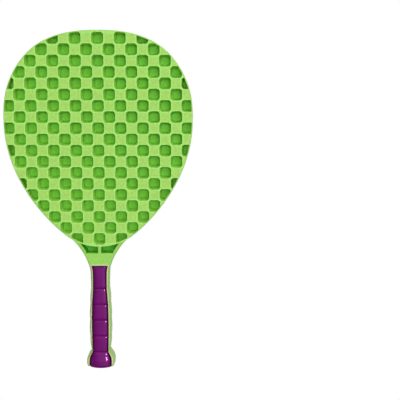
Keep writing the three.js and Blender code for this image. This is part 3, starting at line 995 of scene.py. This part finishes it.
def purplePlastic():
    finish = purpleFinish
    material, shader, place = plasticMaterial("purplePlastic", finish)
    shader.inputs["Specular Tint"].default_value = finish["gloss"]
    x, y, z = place.axes()
    cloud = place.noise(finish["cloudScale"], 3).step(*finish["cloudRange"])
    deep = place.colour(finish["deep"])
    base = place.colour(finish["base"]).blend(deep, cloud * finish["cloudShare"])
    # Painted shade: the rounded edges and both ends are coloured darker.
    sunk = (crownDepth(y, z) - toButt(y) * finish["edgeLift"]).step(*finish["edgeDepth"])
    atTop = (y - gripTopY).step(-finish["topEdge"], 0)
    atEnd = (buttY - y).step(-finish["endEdge"], 0)
    edgeShade = sunk.most(atTop).most(atEnd) * finish["edgeShadeShare"]
    linkFinish(shader, place, base.blend(place.colour(finish["edge"]), edgeShade), finish)
    return material


green, purple = greenPlastic(), purplePlastic()
dressed = (
    (shell, green, "racket_body", "green_plastic"),
    (frontGrip, purple, "front_grip_insert", "purple_plastic"),
    (backGrip, purple, "back_grip_insert", "purple_plastic"),
)
for piece, material, node, slot in dressed:
    piece.data.materials.clear()
    piece.data.materials.append(material)
    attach(piece, "root")
    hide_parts(node)
print("finishes assigned")


# Studio, in metres and watts, with the camera's lens and sensor in millimetres
studio = {
    "floorSide": 6,
    "floorColour": (0.3, 0.3, 0.3, 1),
    "skyTowards": (0.3, 0.36, 0.88),
    "skyRange": (0.5, 1.0),
    "skyStrength": (0.22, 1.9),
    "keyPlace": (0.9, 1.1, 1.5),
    "keySize": 0.7,
    "keyPower": 4,
    "glintPlace": (2.06, -0.3, 4.0),
    "glintSize": 0.65,
    "glintPower": 90,
    "cameraLens": 81,
    "cameraSensor": 36,
    "cameraClip": (0.05, 20),
    "cameraPlace": (0.10266, 0.11023, 1.02412),
    "cameraAxes": (
        (0.99994, 0.00013, 0.01039),
        (0.00098, 0.99423, -0.10721),
        (-0.01035, 0.10723, 0.99418),
    ),
}


def studioFloor():
    half = studio["floorSide"] / 2
    corners = np.array([(-half, -half, 0), (half, -half, 0), (half, half, 0), (-half, half, 0)])
    floor = meshPiece("floor", corners, [(0, 1, 2, 3)])
    material = bpy.data.materials.new("floorPaper")
    material.use_nodes = True
    tree = material.node_tree
    tree.nodes.remove(tree.nodes["Principled BSDF"])
    start = Signal(tree)
    rays = ("Is Camera Ray", "Is Glossy Ray", "Is Transmission Ray")
    camera, gloss, through = (start.node("ShaderNodeLightPath", output=ray) for ray in rays)
    seen = camera.most(gloss).most(through)
    matt = start.node("ShaderNodeBsdfDiffuse", None, {"Color": studio["floorColour"]})
    white = start.node("ShaderNodeEmission", None, {"Color": (1, 1, 1, 1), "Strength": 1.0})
    mixed = start.node("ShaderNodeMixShader", None, {0: seen, 1: matt, 2: white})
    tree.links.new(mixed.socket, tree.nodes["Material Output"].inputs["Surface"])
    floor.data.materials.append(material)


def studioLight():
    world = bpy.data.worlds.new("softSky")
    world.use_nodes = True
    tree = world.node_tree
    background = tree.nodes["Background"]
    background.inputs["Color"].default_value = (1, 1, 1, 1)
    # Strength = low + (high - low) * smooth step of the direction's dot with skyTowards.
    look = Signal(tree).node("ShaderNodeTexCoord", output="Generated")
    low, high = studio["skyStrength"]
    strength = look.dot(studio["skyTowards"]).step(*studio["skyRange"]) * (high - low) + low
    tree.links.new(strength.socket, background.inputs["Strength"])
    bpy.context.scene.world = world
    for name in ("key", "glint"):
        light = bpy.data.lights.new(name, "AREA")
        light.shape, light.size = "DISK", studio[name + "Size"]
        light.energy = studio[name + "Power"]
        lamp = bpy.data.objects.new(name, light)
        lamp.location = studio[name + "Place"]
        lamp.rotation_mode = "QUATERNION"
        lamp.rotation_quaternion = lamp.location.to_track_quat("Z", "Y")
        lamp.visible_diffuse = name == "key"
        bpy.context.scene.collection.objects.link(lamp)


def studioCamera():
    # The axes are the camera's right, up and backward directions.
    data = bpy.data.cameras.new("photoView")
    data.sensor_width, data.lens = studio["cameraSensor"], studio["cameraLens"]
    data.clip_start, data.clip_end = studio["cameraClip"]
    camera = bpy.data.objects.new("photoView", data)
    axes = Matrix(studio["cameraAxes"]).transposed()
    camera.matrix_world = Matrix.Translation(studio["cameraPlace"]) @ axes.to_4x4()
    bpy.context.scene.collection.objects.link(camera)
    bpy.context.scene.camera = camera


studioFloor()
studioLight()
studioCamera()
bpy.context.scene.view_settings.view_transform = "Standard"
print("studio set")
